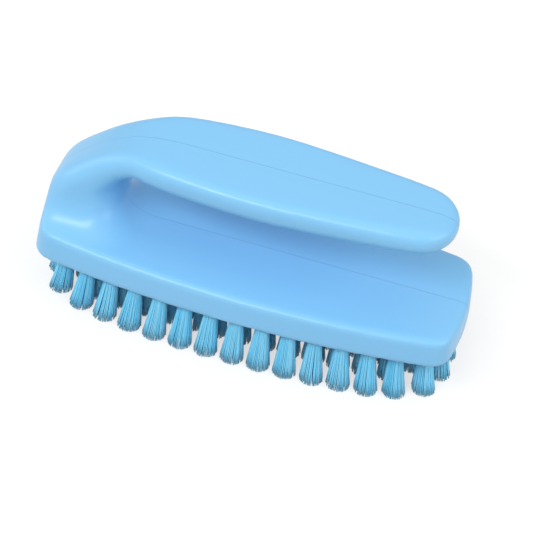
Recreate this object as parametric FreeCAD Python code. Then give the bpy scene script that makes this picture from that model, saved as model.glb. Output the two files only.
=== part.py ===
import FreeCAD, Part
import math
import os

# A hand-held nail brush: one moulded block with a hooped finger handle that is open at its
# free end, and bristle tufts folded over flat wire staples in blind holes under the block.
# +X runs to the handle's free end, +Y away from the user, +Z up. The cut bristle tips lie on Z = 0.

# Block, in millimetres
block_length = 121.6
block_width = 48.4
block_thickness = 8.6
end_bow = 2.6
side_bow = 5.2
corner_radius = 7.0
top_edge_radius = 1.4
rim_bevel = 0.5
wall_inset = 0.9

# Handle, in millimetres
handle_rise = 28.2
finger_gap = 20.2
handle_width = 31.0
root_blend = 8.5
toe_sink = 0.12

# Tufts and staples, in millimetres and counts
trim_length = 16.0
hole_diameter = 4.5
hole_depth = 6.0
hole_clearance = 0.05
tip_diameter = 6.3
field_shift = 0.8
tuft_sides = 6
staple_thickness = 0.5
staple_height = 1.6
staple_floor = 0.9
staple_clearance = 0.05
overrun = 1.0

# The hoop stands on the block's closed end: the finger gap's rounded end is centred this share of the
# half length from the middle, and its column and toe have these shares of the handle's width and thickness.
gap_centre_share = 0.4935
column_width_share = 0.700
column_edge_share = 0.78
column_inner_share = 1.05
toe_inner_share = 1.45

# The concave root, from the block's top to the upright column. Each row is the angle round the finger gap's
# end in degrees, and how far the outer face reaches as a share of the half length;
# what passes the drafted end wall is trimmed by it.
root_shares = (
    (12.0, 0.990),
    (32.0, 0.986),
    (60.0, 0.979),
)

# The bend of the hoop. Each row is the angle round the finger gap's end in degrees, then shares:
# outer point along the half length and up the rise, half width of the handle,
# outer and inner edge radius against the handle's thickness.
bend_shares = (
    (90.0, 0.957, 0.351, 0.690, 0.76, 1.00),
    (100.0, 0.914, 0.482, 0.680, 0.73, 0.88),
    (115.0, 0.832, 0.640, 0.667, 0.66, 0.68),
    (135.0, 0.737, 0.795, 0.668, 0.57, 0.50),
    (160.0, 0.612, 0.932, 0.718, 0.50, 0.43),
)

# The level part of the handle. Each row holds shares: place along the half length, underside against
# the finger gap, top of the rise, half width of the handle, outer and inner edge radius
# against the handle's thickness.
level_shares = (
    (-0.4935, 1.000, 0.988, 0.835, 0.42, 0.43),
    (-0.365, 1.000, 1.000, 0.920, 0.35, 0.45),
    (-0.118, 1.000, 1.000, 1.000, 0.30, 0.48),
    (0.099, 0.995, 1.000, 0.994, 0.30, 0.48),
    (0.494, 1.010, 1.000, 0.863, 0.38, 0.46),
    (0.716, 1.030, 1.000, 0.755, 0.42, 0.42),
)

# The rounded nose past the last level station: its reach as a share of the half length,
# the width and underside that the handle's taper would have at its end,
# the turn of each station in degrees, and how much slower it thins than it narrows.
nose_reach_share = 0.150
nose_width_share = 0.665
nose_under_share = 1.035
nose_turns = (27.0, 50.0, 69.0, 84.0)
nose_thinning_share = 0.6
nose_edge_share = 0.45

# The hoop is built of straight bands that turn no more than this many degrees each.
band_turn = 10.0

# Rows from the outside in. Each row is its count, then shares: half length against the block's,
# half width against the block's, and how far the row follows the bowed outline.
row_shares = (
    (15, 0.844, 0.793, 1.0),
    (13, 0.680, 0.476, 1.0),
    (15, 0.888, 0.159, 0.0),
)
# How far along the half length a row's bow reaches, and the powers of its rounding along and across.
bow_shares = (0.896, 2.6, 3.5)
fan_share = 0.035

half_length = block_length / 2
half_width = block_width / 2
half_handle = handle_width / 2
handle_thickness = handle_rise - finger_gap
block_under = trim_length
block_top = block_under + block_thickness
gap_radius = finger_gap / 2
gap_centre_x = -half_length * gap_centre_share
hole_radius = hole_diameter / 2
tip_radius = tip_diameter / 2
tuft_radius = hole_radius - hole_clearance
hole_floor = block_under + hole_depth
staple_top = hole_floor - staple_floor
# the flat sides of a hole lie nearer to its middle than its corners by this share
flat_share = math.cos(math.pi / tuft_sides)
staple_length = hole_diameter * flat_share - 2 * staple_clearance
diagonal_share = math.sqrt(0.5)

os.makedirs("parts", exist_ok=True)


# One quarter of the plan outline, drawn in by an inset: where the bowed side meets the round corner,
# the corner's middle, and where it meets the bowed end, all tangent.
def quarter_points(inset):
    corner_x = half_length - end_bow
    corner_y = half_width - side_bow
    side_radius = (corner_x ** 2 + side_bow ** 2) / (2 * side_bow)
    end_radius = (corner_y ** 2 + end_bow ** 2) / (2 * end_bow)
    side_centre = FreeCAD.Vector(0, half_width - side_radius, 0)
    end_centre = FreeCAD.Vector(half_length - end_radius, 0, 0)
    to_side = side_radius - corner_radius
    to_end = end_radius - corner_radius
    apart = end_centre.sub(side_centre)
    span = apart.Length
    foot = (to_side ** 2 - to_end ** 2 + span ** 2) / (2 * span)
    lift = math.sqrt(to_side ** 2 - foot ** 2)
    across = FreeCAD.Vector(apart.y, -apart.x, 0)
    centre = side_centre + apart * (foot / span) + across * (lift / span)
    on_side = side_centre + centre.sub(side_centre) * ((side_radius - inset) / to_side)
    on_end = end_centre + centre.sub(end_centre) * ((end_radius - inset) / to_end)
    outward = on_side.sub(centre) + on_end.sub(centre)
    outward.normalize()
    return on_side, centre + outward * (corner_radius - inset), on_end


def outline_wire(level):
    inset = wall_inset * (level - block_under) / block_thickness
    on_side, on_corner, on_end = quarter_points(inset)

    def at(point, x_sign, y_sign):
        return FreeCAD.Vector(point.x * x_sign, point.y * y_sign, level)

    edges = []
    for x_sign, y_sign in ((1, 1), (1, -1), (-1, -1), (-1, 1)):
        edges.append(Part.Arc(at(on_side, x_sign, y_sign), at(on_corner, x_sign, y_sign),
                              at(on_end, x_sign, y_sign)).toShape())
    for y_sign in (1, -1):
        middle = FreeCAD.Vector(0, y_sign * (half_width - inset), level)
        edges.append(Part.Arc(at(on_side, -1, y_sign), middle, at(on_side, 1, y_sign)).toShape())
    for x_sign in (1, -1):
        middle = FreeCAD.Vector(x_sign * (half_length - inset), 0, level)
        edges.append(Part.Arc(at(on_end, x_sign, -1), middle, at(on_end, x_sign, 1)).toShape())
    return Part.Wire(Part.__sortEdges__(edges))


# The block's drafted walls, from its underside up to any level.
def drafted_walls(top):
    return Part.makeLoft([outline_wire(block_under), outline_wire(top)], True, True)


def flat_edges(shape, level):
    reach = rim_bevel / 2
    return [e for e in shape.Edges
            if e.BoundBox.ZLength < reach and abs(e.CenterOfMass.z - level) < reach]


def make_block():
    block = drafted_walls(block_top)
    block = block.makeFillet(top_edge_radius, flat_edges(block, block_top))
    return block.makeChamfer(rim_bevel, flat_edges(block, block_under))


# One cross-section of the hoop: a rounded rectangle across Y, from its inner to its outer point.
def hoop_section(inner, outer, half, outer_radius, inner_radius):
    axis = outer.sub(inner)
    depth = axis.Length
    axis.normalize()

    def at(y, t):
        return inner + FreeCAD.Vector(0, y, 0) + axis * t

    def corner(y_sign, t_level, t_sign, radius):
        y = y_sign * (half - radius)
        t = t_level + t_sign * radius
        swing = radius * diagonal_share
        return at(y, t_level), at(y + y_sign * swing, t - t_sign * swing), at(y_sign * half, t)

    far_low = corner(1, 0, 1, inner_radius)
    far_high = corner(1, depth, -1, outer_radius)
    near_high = corner(-1, depth, -1, outer_radius)
    near_low = corner(-1, 0, 1, inner_radius)
    return Part.Wire([
        Part.makeLine(near_low[0], far_low[0]),
        Part.Arc(*far_low).toShape(),
        Part.makeLine(far_low[2], far_high[2]),
        Part.Arc(*reversed(far_high)).toShape(),
        Part.makeLine(far_high[0], near_high[0]),
        Part.Arc(*near_high).toShape(),
        Part.makeLine(near_high[2], near_low[2]),
        Part.Arc(*reversed(near_low)).toShape(),
    ])


# A point on the rounded end of the finger gap, turned from straight down towards the handle.
def gap_point(angle):
    turn = math.radians(angle)
    x = gap_centre_x - gap_radius * math.sin(turn)
    z = block_top + gap_radius - gap_radius * math.cos(turn)
    return x, z


# Each station of the hoop is a row: inner point x and z, outer point x and z, half width,
# outer and inner edge radius.
def root_row(inner_x, level, reach_share, spread, inner_share):
    half = half_handle * column_width_share + spread
    return (inner_x, level, -half_length * reach_share, level, half,
            handle_thickness * column_edge_share, handle_thickness * inner_share)


# The root: level slices that draw in from a wide toe, just under the block's top, to the column.
def root_rows():
    rows = [root_row(gap_centre_x, block_top - toe_sink, root_shares[0][1], root_blend, toe_inner_share)]
    for turn, reach_share in root_shares:
        inner_x, level = gap_point(turn)
        left = max(root_blend - (level - block_top), 0)
        spread = root_blend - math.sqrt(root_blend ** 2 - left ** 2)
        inner_share = column_inner_share + (toe_inner_share - column_inner_share) * spread / root_blend
        rows.append(root_row(inner_x, level, reach_share, spread, inner_share))
    return rows


def bend_rows():
    rows = []
    for angle, along, up, wide, out_edge, in_edge in bend_shares:
        inner_x, inner_z = gap_point(angle)
        rows.append((inner_x, inner_z, -half_length * along, block_top + handle_rise * up,
                     half_handle * wide, handle_thickness * out_edge, handle_thickness * in_edge))
    return rows


def level_rows():
    rows = []
    for along, under, up, wide, out_edge, in_edge in level_shares:
        x = half_length * along
        rows.append((x, block_top + finger_gap * under, x, block_top + handle_rise * up,
                     half_handle * wide, handle_thickness * out_edge, handle_thickness * in_edge))
    return rows


def nose_rows():
    along, under, up, wide, out_edge, in_edge = level_shares[-1]
    top = block_top + handle_rise * up
    rows = []
    for turn in nose_turns:
        part = math.sin(math.radians(turn))
        narrow = math.cos(math.radians(turn))
        x = half_length * (along + nose_reach_share * part)
        half = half_handle * (wide + (nose_width_share - wide) * part) * narrow
        underside = block_top + finger_gap * (under + (nose_under_share - under) * part)
        middle = (underside + top) / 2
        rise = (top - middle) * narrow ** nose_thinning_share
        edge = min(2 * rise * nose_edge_share, half * (1 - nose_edge_share / 2))
        rows.append((x, middle - rise, x, middle + rise, half, edge, edge))
    return rows


# How far apart two stations are, and how far the hoop turns between them.
def step_between(row, following):
    inner_step = math.hypot(following[0] - row[0], following[1] - row[1])
    outer_step = math.hypot(following[2] - row[2], following[3] - row[3])
    lean = math.atan2(row[3] - row[1], row[2] - row[0])
    next_lean = math.atan2(following[3] - following[1], following[2] - following[0])
    return (inner_step + outer_step) / 2, abs(math.remainder(next_lean - lean, 2 * math.pi))


# Rows on a smooth curve through the stations, close enough that the bands between them read as one surface.
def smooth_rows(rows):
    steps = [step_between(*pair) for pair in zip(rows, rows[1:])]
    places = [sum(step for step, _ in steps[:k]) for k in range(len(rows))]
    slopes = []
    for k in range(len(rows)):
        low, high = max(k - 1, 0), min(k + 1, len(rows) - 1)
        span = places[high] - places[low]
        slopes.append([(b - a) / span for a, b in zip(rows[low], rows[high])])
    filled = []
    for k, (step, turn) in enumerate(steps):
        bands = max(2, math.ceil(math.degrees(turn) / band_turn))
        for band in range(bands):
            t = band / bands
            rise = t * t * (3 - 2 * t)
            leave = step * t * (1 - t) ** 2
            arrive = step * t * t * (1 - t)
            filled.append([a + (b - a) * rise + p * leave - q * arrive for a, b, p, q
                           in zip(rows[k], rows[k + 1], slopes[k], slopes[k + 1])])
    return filled + [rows[-1]]


def make_hoop():
    sections = []
    for row in smooth_rows(root_rows() + bend_rows() + level_rows() + nose_rows()):
        inner_x, inner_z, outer_x, outer_z, half, outer_radius, inner_radius = row
        sections.append(hoop_section(FreeCAD.Vector(inner_x, 0, inner_z), FreeCAD.Vector(outer_x, 0, outer_z),
                                     half, outer_radius, inner_radius))
    # the foot fills the block's rounded edge under the toe, and the end wall carries on up its outside
    foot = Part.Face(sections[0]).extrude(FreeCAD.Vector(0, 0, -top_edge_radius))
    hoop = Part.makeLoft(sections, True, True).fuse(foot)
    return hoop.common(drafted_walls(block_top + handle_rise + overrun))


# How far in a row lies at a place along the block: it follows the bowed outline.
def bow(x, follow):
    reach_share, along_power, across_power = bow_shares
    part = min(abs(x) / (half_length * reach_share), 1)
    return 1 - follow * (1 - (1 - part ** along_power) ** (1 / across_power))


# Every tuft's place on the block's underside, listed by the line across the block that it is in.
def tuft_lines():
    longest = max(row[0] for row in row_shares)
    lines = [[] for _ in range(longest)]
    for count, long_share, wide_share, follow in row_shares:
        reach = half_length * long_share
        first = (longest - count) // 2
        for place in range(count):
            x = reach * (2 * place / (count - 1) - 1)
            y = half_width * wide_share * bow(x, follow)
            lines[first + place] += [(x + field_shift, -y), (x + field_shift, y)]
    return lines


# A ring of points with a flat side towards each end of the block, where the staple's ends lie.
def ring(x, y, z, radius):
    turns = [2 * math.pi * (k + 0.5) / tuft_sides for k in range(tuft_sides)]
    return [FreeCAD.Vector(x + radius * math.cos(turn), y + radius * math.sin(turn), z) for turn in turns]


# A flat-sided solid through rings of equal count.
def solid_through(rings):
    outlines = [rings[0], rings[-1]]
    for low, high in zip(rings, rings[1:]):
        for k in range(tuft_sides):
            outlines.append([low[k - 1], low[k], high[k], high[k - 1]])
    faces = [Part.Face(Part.makePolygon(points + points[:1])) for points in outlines]
    return Part.makeSolid(Part.makeShell(faces))


# The flat wire that pins a tuft: a strip across the hole, driven in between two of its flat sides.
def strip(x, y, length, slack):
    thick = staple_thickness + 2 * slack
    tall = staple_height + 2 * slack
    corner = FreeCAD.Vector(x - length / 2, y - thick / 2, staple_top - staple_height - slack)
    return Part.makeBox(length, thick, tall, corner)


# A folded bundle: straight in its hole, then spreading to the flat cut at the tips.
def make_tuft(x, y):
    root = ring(x, y, hole_floor - hole_clearance, tuft_radius)
    face = ring(x, y, block_under, tuft_radius)
    tip = ring(x * (1 + fan_share), y * (1 + fan_share), 0, tip_radius)
    fold = strip(x, y, hole_diameter + overrun, staple_clearance)
    return solid_through([root, face, tip]).cut(fold)


def make_hole(x, y):
    return solid_through([ring(x, y, hole_floor, hole_radius),
                          ring(x, y, block_under - overrun, hole_radius)])


lines = tuft_lines()
body = make_block().fuse(make_hoop()).removeSplitter()
body = body.cut([make_hole(x, y) for line in lines for x, y in line])
body.exportStep("parts/block_and_handle.step")

for number, line in enumerate(lines, 1):
    tufts = Part.makeCompound([make_tuft(x, y) for x, y in line])
    tufts.exportStep("parts/tuft_line_%02d.step" % number)
    staples = Part.makeCompound([strip(x, y, staple_length, 0) for x, y in line])
    staples.exportStep("parts/staple_line_%02d.step" % number)
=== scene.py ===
import math
import random

import bmesh
import bpy
from mathutils import Matrix, Vector


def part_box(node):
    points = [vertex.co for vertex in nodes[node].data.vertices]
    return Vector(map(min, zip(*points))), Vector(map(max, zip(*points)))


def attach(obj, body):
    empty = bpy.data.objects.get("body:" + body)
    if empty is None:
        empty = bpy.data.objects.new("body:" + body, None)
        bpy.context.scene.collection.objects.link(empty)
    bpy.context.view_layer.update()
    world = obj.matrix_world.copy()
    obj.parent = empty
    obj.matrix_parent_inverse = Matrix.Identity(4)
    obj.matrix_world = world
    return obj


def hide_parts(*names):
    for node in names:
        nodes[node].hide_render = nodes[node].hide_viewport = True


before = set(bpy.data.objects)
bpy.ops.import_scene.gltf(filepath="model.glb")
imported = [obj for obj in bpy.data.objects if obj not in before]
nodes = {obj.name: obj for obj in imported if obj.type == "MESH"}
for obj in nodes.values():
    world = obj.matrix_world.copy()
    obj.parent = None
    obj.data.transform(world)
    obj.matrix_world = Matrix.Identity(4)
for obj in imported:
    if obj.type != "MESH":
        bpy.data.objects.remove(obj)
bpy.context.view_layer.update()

scene = bpy.context.scene
scene.view_settings.view_transform = "Standard"


# The block and its hooped finger handle: one shot of sky-blue polypropylene with a satin gloss.
# The mould's halves met on the middle plane and left a hair-fine witness line along the handle and block;
# its bump is real, its darker colour is painted shade.
plastic_colour = (0.248, 0.598, 0.930, 1.0)
plastic_shade = (0.236, 0.582, 0.915, 1.0)
plastic_roughness = 0.36
roughness_swing = 0.02
plastic_mirror = 0.38
# painted shade along the witness line: the plastic's colour darkened there, beside the line's real bump
witness_line_painted_shade = (0.205, 0.535, 0.870, 1.0)
line_half_width = 0.00018
line_height = 0.00008
mottle_size = 0.035
moulding_detail = 2
noise_low = 0.3
noise_high = 0.7
grain_size = 0.0016
grain_height = 0.000012
gloss_share = 0.18
gloss_roughness = 0.22
merge_distance = 1e-6
skin_grain = 0.00065
easing_share = 0.5
first_easing = 4
edge_easing = 5
eased_above = 0.0025


def new_material(name):
    material = bpy.data.materials.new(name)
    material.use_nodes = True
    tree = material.node_tree
    return material, tree, tree.nodes["Principled BSDF"]


def add_node(tree, kind, **settings):
    node = tree.nodes.new(kind)
    for key, value in settings.items():
        setattr(node, key, value)
    return node


def object_noise(tree, size, detail):
    place = add_node(tree, "ShaderNodeTexCoord")
    noise = add_node(tree, "ShaderNodeTexNoise")
    noise.inputs["Scale"].default_value = 1 / size
    noise.inputs["Detail"].default_value = detail
    tree.links.new(place.outputs["Object"], noise.inputs["Vector"])
    return noise.outputs["Fac"]


def ramp(tree, source, start, end, low, high):
    spread = add_node(tree, "ShaderNodeMapRange", interpolation_type="SMOOTHSTEP")
    for name, value in (("From Min", start), ("From Max", end), ("To Min", low), ("To Max", high)):
        spread.inputs[name].default_value = value
    tree.links.new(source, spread.inputs["Value"])
    return spread.outputs["Result"]


def mix_colours(tree, factor, first, second):
    mix = add_node(tree, "ShaderNodeMix", data_type="RGBA")
    mix.inputs["A"].default_value = first
    mix.inputs["B"].default_value = second
    tree.links.new(factor, mix.inputs["Factor"])
    return mix.outputs["Result"]


def witness_line(tree):
    place = add_node(tree, "ShaderNodeTexCoord")
    split = add_node(tree, "ShaderNodeSeparateXYZ")
    tree.links.new(place.outputs["Object"], split.inputs["Vector"])
    off_plane = add_node(tree, "ShaderNodeMath", operation="ABSOLUTE")
    tree.links.new(split.outputs["Y"], off_plane.inputs[0])
    return ramp(tree, off_plane.outputs["Value"], 0, line_half_width, 1, 0)


moulded_plastic, tree, shader = new_material("moulded_plastic")
mottle = object_noise(tree, mottle_size, moulding_detail)
line = witness_line(tree)
# the witness line is coloured darker here as painted shade of its ridge; the ridge itself is the bump
# below
surface = mix_colours(tree, line, plastic_colour, witness_line_painted_shade)
tree.links.new(mix_colours(tree, mottle, plastic_colour, plastic_shade), surface.node.inputs["A"])
tree.links.new(surface, shader.inputs["Base Color"])
tree.links.new(ramp(tree, mottle, noise_low, noise_high,
                    plastic_roughness - roughness_swing, plastic_roughness + roughness_swing),
               shader.inputs["Roughness"])
shader.inputs["Specular IOR Level"].default_value = plastic_mirror
shader.inputs["Coat Weight"].default_value = gloss_share
shader.inputs["Coat Roughness"].default_value = gloss_roughness
grain_bump = add_node(tree, "ShaderNodeBump")
grain_bump.inputs["Distance"].default_value = grain_height
tree.links.new(object_noise(tree, grain_size, moulding_detail), grain_bump.inputs["Height"])
line_bump = add_node(tree, "ShaderNodeBump")
line_bump.inputs["Distance"].default_value = line_height
tree.links.new(grain_bump.outputs["Normal"], line_bump.inputs["Normal"])
tree.links.new(line, line_bump.inputs["Height"])
tree.links.new(line_bump.outputs["Normal"], shader.inputs["Normal"])

# the solid's facets become one even skin, eased over its edges as a moulding is, but not round the holes
block_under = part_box("block_and_handle")[0].z
skin = bmesh.new()
skin.from_mesh(nodes["block_and_handle"].data)
bmesh.ops.remove_doubles(skin, verts=skin.verts, dist=merge_distance)
joined_facets = bpy.data.meshes.new("joined_facets")
skin.to_mesh(joined_facets)
moulding = bpy.data.objects.new("moulding", joined_facets)
scene.collection.objects.link(moulding)
even_skin = moulding.modifiers.new("even_skin", "REMESH")
even_skin.mode = "VOXEL"
even_skin.voxel_size = skin_grain
finished = moulding.evaluated_get(bpy.context.evaluated_depsgraph_get())
mesh = bpy.data.meshes.new_from_object(finished)
moulding.modifiers.clear()
skin.clear()
skin.from_mesh(mesh)
upper = [vert for vert in skin.verts if vert.co.z > block_under + eased_above]
for turn in range(first_easing + edge_easing):
    eased = skin.verts if turn < first_easing else upper
    bmesh.ops.smooth_vert(skin, verts=eased, factor=easing_share,
                          use_axis_x=True, use_axis_y=True, use_axis_z=True)
for face in skin.faces:
    face.smooth = True
skin.to_mesh(mesh)
skin.free()
moulding.data = mesh
bpy.data.meshes.remove(joined_facets)
mesh.materials.append(moulded_plastic)
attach(moulding, "root")
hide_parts("block_and_handle")


# The bristle tufts: bundles of dyed nylon filaments folded in two, pinned in blind holes under the block.
# Out of the hole each bundle spreads to a flat-trimmed tip, and here and there it parts in a narrow split.
filament_radius = 0.00017
filament_sides = 5
filament_steps = (-0.20, 0.0, 0.35, 0.70, 1.0)
layer_rows = ((0.97, 42), (0.79, 34), (0.59, 22), (0.36, 12))
root_share = 0.76
tip_share = 1.05
tip_band_share = 0.01
top_band_share = 1.001
straight_share = 0.8
jitter_share = 0.2
stray_share = 0.022
splits_in_tuft = 3
split_width = 0.06
split_reach = 0.35
trim_unevenness = 0.00012
bristle_pale = (0.320, 0.770, 1.000, 1.0)
bristle_deep = (0.140, 0.660, 0.980, 1.0)
bristle_roughness = 0.38
seed = 7


def tuft_axes(node):
    copy = bmesh.new()
    copy.from_mesh(node.data)
    bmesh.ops.remove_doubles(copy, verts=copy.verts, dist=merge_distance)
    left = set(copy.verts)
    axes = []
    while left:
        island, front = set(), [left.pop()]
        while front:
            vert = front.pop()
            island.add(vert)
            near = {edge.other_vert(vert) for edge in vert.link_edges} & left
            left -= near
            front.extend(near)
        tips = [v.co for v in island if v.co.z < block_under * tip_band_share]
        tops = [v.co for v in island if v.co.z > block_under * top_band_share]
        tip = sum(tips, Vector()) / len(tips)
        top = sum(tops, Vector()) / len(tops)
        root_radius = max((v - top).xy.length for v in tops)
        tip_radius = max((v - tip).xy.length for v in tips)
        axes.append((top.xy, tip.xy, root_radius, tip_radius))
    copy.free()
    return sorted(axes, key=lambda axis: axis[0].y)


def filament_mesh():
    pattern = bmesh.new()
    bmesh.ops.create_circle(pattern, segments=filament_sides, radius=1, cap_ends=True)
    face = next(iter(pattern.faces))
    for _ in filament_steps[1:]:
        grown = bmesh.ops.extrude_face_region(pattern, geom=[face])["geom"]
        lifted = [part for part in grown if isinstance(part, bmesh.types.BMVert)]
        bmesh.ops.translate(pattern, verts=lifted, vec=(0, 0, 1))
        face = next(part for part in grown if isinstance(part, bmesh.types.BMFace))
    bmesh.ops.recalc_face_normals(pattern, faces=pattern.faces)
    mesh = bpy.data.meshes.new("filament")
    pattern.to_mesh(mesh)
    pattern.free()
    return mesh


def polar(angle, reach):
    return Vector((math.cos(angle), math.sin(angle))) * reach


# each filament's place in the hole and at the tip, in layers from the outside of the bundle inwards
def filament_routes(root_radius, tip_radius, chance):
    splits = [chance.uniform(-math.pi, math.pi) for _ in range(splits_in_tuft)]
    for share, count in layer_rows:
        turn = chance.uniform(0, 2 * math.pi)
        for k in range(count):
            angle = turn + 2 * math.pi * (k + chance.uniform(-jitter_share, jitter_share)) / count
            root = polar(angle, share * root_radius * root_share)
            for split in splits:
                aside = math.remainder(angle - split, 2 * math.pi)
                angle += math.copysign(split_width * math.exp(-abs(aside) / split_reach), aside)
            reach = share + chance.gauss(0, stray_share)
            yield root, polar(angle, reach * tip_radius * tip_share)


def bristle_line(name, node, pattern, chance):
    bundle = bmesh.new()
    routes = []
    for root, tip, root_radius, tip_radius in tuft_axes(node):
        for at_root, at_tip in filament_routes(root_radius, tip_radius, chance):
            bundle.from_mesh(pattern)
            trim = chance.uniform(0, trim_unevenness)
            routes.append((root + at_root, tip + at_tip, trim, chance.random()))
    tone = bundle.verts.layers.float.new("tone")
    count = len(pattern.vertices)
    for place, vert in enumerate(bundle.verts):
        root, tip, trim, shade = routes[place // count]
        step = filament_steps[round(vert.co.z)]
        across = Vector((vert.co.x, vert.co.y)) * filament_radius
        spread = max(step, 0)
        centre = root.lerp(tip, straight_share * spread + (1 - straight_share) * spread ** 2)
        vert.co = (centre.x + across.x, centre.y + across.y, trim + (block_under - trim) * (1 - step))
        vert[tone] = shade
    mesh = bpy.data.meshes.new(name)
    bundle.to_mesh(mesh)
    bundle.free()
    for polygon in mesh.polygons:
        polygon.use_smooth = True
    piece = bpy.data.objects.new(name, mesh)
    scene.collection.objects.link(piece)
    return piece


bristle, tree, shader = new_material("bristle")
tone = add_node(tree, "ShaderNodeAttribute", attribute_name="tone")
nylon_colour = mix_colours(tree, tone.outputs["Fac"], bristle_deep, bristle_pale)
tree.links.new(nylon_colour, shader.inputs["Base Color"])
shader.inputs["Roughness"].default_value = bristle_roughness

chance = random.Random(seed)
pattern = filament_mesh()
for name in sorted(nodes):
    if not name.startswith("tuft_line_"):
        continue
    piece = bristle_line(name.replace("tuft_line", "bristles"), nodes[name], pattern, chance)
    piece.data.materials.append(bristle)
    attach(piece, "root")
    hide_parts(name)


# The staples: short flat lengths of drawn steel wire, driven across each hole over the folded tuft.
# They bite into the plastic on both sides and stay out of sight.
steel_colour = (0.62, 0.62, 0.60, 1.0)
steel_roughness = 0.36
steel_swing = 0.06
draw_mark_size = 0.0004
draw_mark_detail = 3

staple_wire, tree, shader = new_material("staple_wire")
shader.inputs["Base Color"].default_value = steel_colour
shader.inputs["Metallic"].default_value = 1
draw_marks = object_noise(tree, draw_mark_size, draw_mark_detail)
tree.links.new(ramp(tree, draw_marks, noise_low, noise_high,
                    steel_roughness - steel_swing, steel_roughness + steel_swing),
               shader.inputs["Roughness"])
for name in sorted(nodes):
    if name.startswith("staple_line_"):
        nodes[name].data.materials.clear()
        nodes[name].data.materials.append(staple_wire)


# The table: a wide matt white sheet that the trimmed tips stand on.
# The camera, and anything that mirrors or passes light, sees it white, and it keeps the brush's shadow.
sheet_half = 1.5
sheet_colour = (0.40, 0.40, 0.40, 1.0)
sheet_lift = 0.65
sheet_roughness = 0.9

table = bmesh.new()
bmesh.ops.create_grid(table, x_segments=1, y_segments=1, size=sheet_half)
mesh = bpy.data.meshes.new("table")
table.to_mesh(mesh)
table.free()
floor = bpy.data.objects.new("table", mesh)
scene.collection.objects.link(floor)
white_sheet, tree, shader = new_material("white_sheet")
shader.inputs["Base Color"].default_value = sheet_colour
shader.inputs["Roughness"].default_value = sheet_roughness
shader.inputs["Specular IOR Level"].default_value = 0.0
shader.inputs["Emission Color"].default_value = (1.0, 1.0, 1.0, 1.0)
path = add_node(tree, "ShaderNodeLightPath")
seen = path.outputs["Is Camera Ray"]
for ray in ("Is Glossy Ray", "Is Transmission Ray"):
    either = add_node(tree, "ShaderNodeMath", operation="MAXIMUM")
    tree.links.new(seen, either.inputs[0])
    tree.links.new(path.outputs[ray], either.inputs[1])
    seen = either.outputs["Value"]
tree.links.new(ramp(tree, seen, 0, 1, 0, sheet_lift), shader.inputs["Emission Strength"])
mesh.materials.append(white_sheet)


# The studio: an even white surround, a strip of light above the near side, and three broad lamps around.
# The strip draws the bright lines along the block's rim and the handle's near edge.
surround_level = 0.49
lamp_rows = (
    ("near_side", (-0.22, -0.55, 0.66), 0.80, 0.14, 3.8),
    ("overhead", (0.15, 0.10, 0.90), 0.90, 0.90, 0.6),
    ("left_hand", (-0.92, -0.02, 0.38), 0.60, 0.60, 1.4),
    ("right_hand", (0.86, -0.15, 0.54), 0.90, 0.70, 3.2),
)

world = bpy.data.worlds.new("surround")
world.use_nodes = True
scene.world = world
backdrop = world.node_tree.nodes["Background"]
backdrop.inputs["Color"].default_value = (1.0, 1.0, 1.0, 1.0)
backdrop.inputs["Strength"].default_value = surround_level
for name, place, width, height, power in lamp_rows:
    data = bpy.data.lights.new(name, "AREA")
    data.shape = "ELLIPSE"
    data.size = width
    data.size_y = height
    data.energy = power
    lamp = bpy.data.objects.new(name, data)
    lamp.location = place
    lamp.rotation_euler = (-Vector(place)).to_track_quat("-Z", "Y").to_euler()
    scene.collection.objects.link(lamp)


# The camera: a long lens held above the near side, tilted so that the brush runs down to the right.
# It turns about a point on the block's top face, and its sizes fit the photograph's outline.
block_top = 0.0246
camera_turn = math.radians(9.421)
camera_rise = math.radians(42.829)
camera_roll = math.radians(9.203)
camera_distance = 0.51896
camera_aside = -0.0059146
camera_lift = 0.0073204
focal_length = 123.25
film_width = 36

right = Vector((math.cos(camera_turn), math.sin(camera_turn), 0))
back = Vector((math.sin(camera_turn) * math.cos(camera_rise),
               -math.cos(camera_turn) * math.cos(camera_rise), math.sin(camera_rise)))
up = back.cross(right)
camera_data = bpy.data.cameras.new("camera")
camera_data.sensor_width = film_width
camera_data.lens = focal_length
camera = bpy.data.objects.new("camera", camera_data)
scene.collection.objects.link(camera)
axes = Matrix((right * math.cos(camera_roll) + up * math.sin(camera_roll),
               up * math.cos(camera_roll) - right * math.sin(camera_roll), back)).transposed()
place = back * camera_distance - right * camera_aside - up * camera_lift + Vector((0, 0, block_top))
camera.matrix_world = Matrix.Translation(place) @ axes.to_4x4()
scene.camera = camera
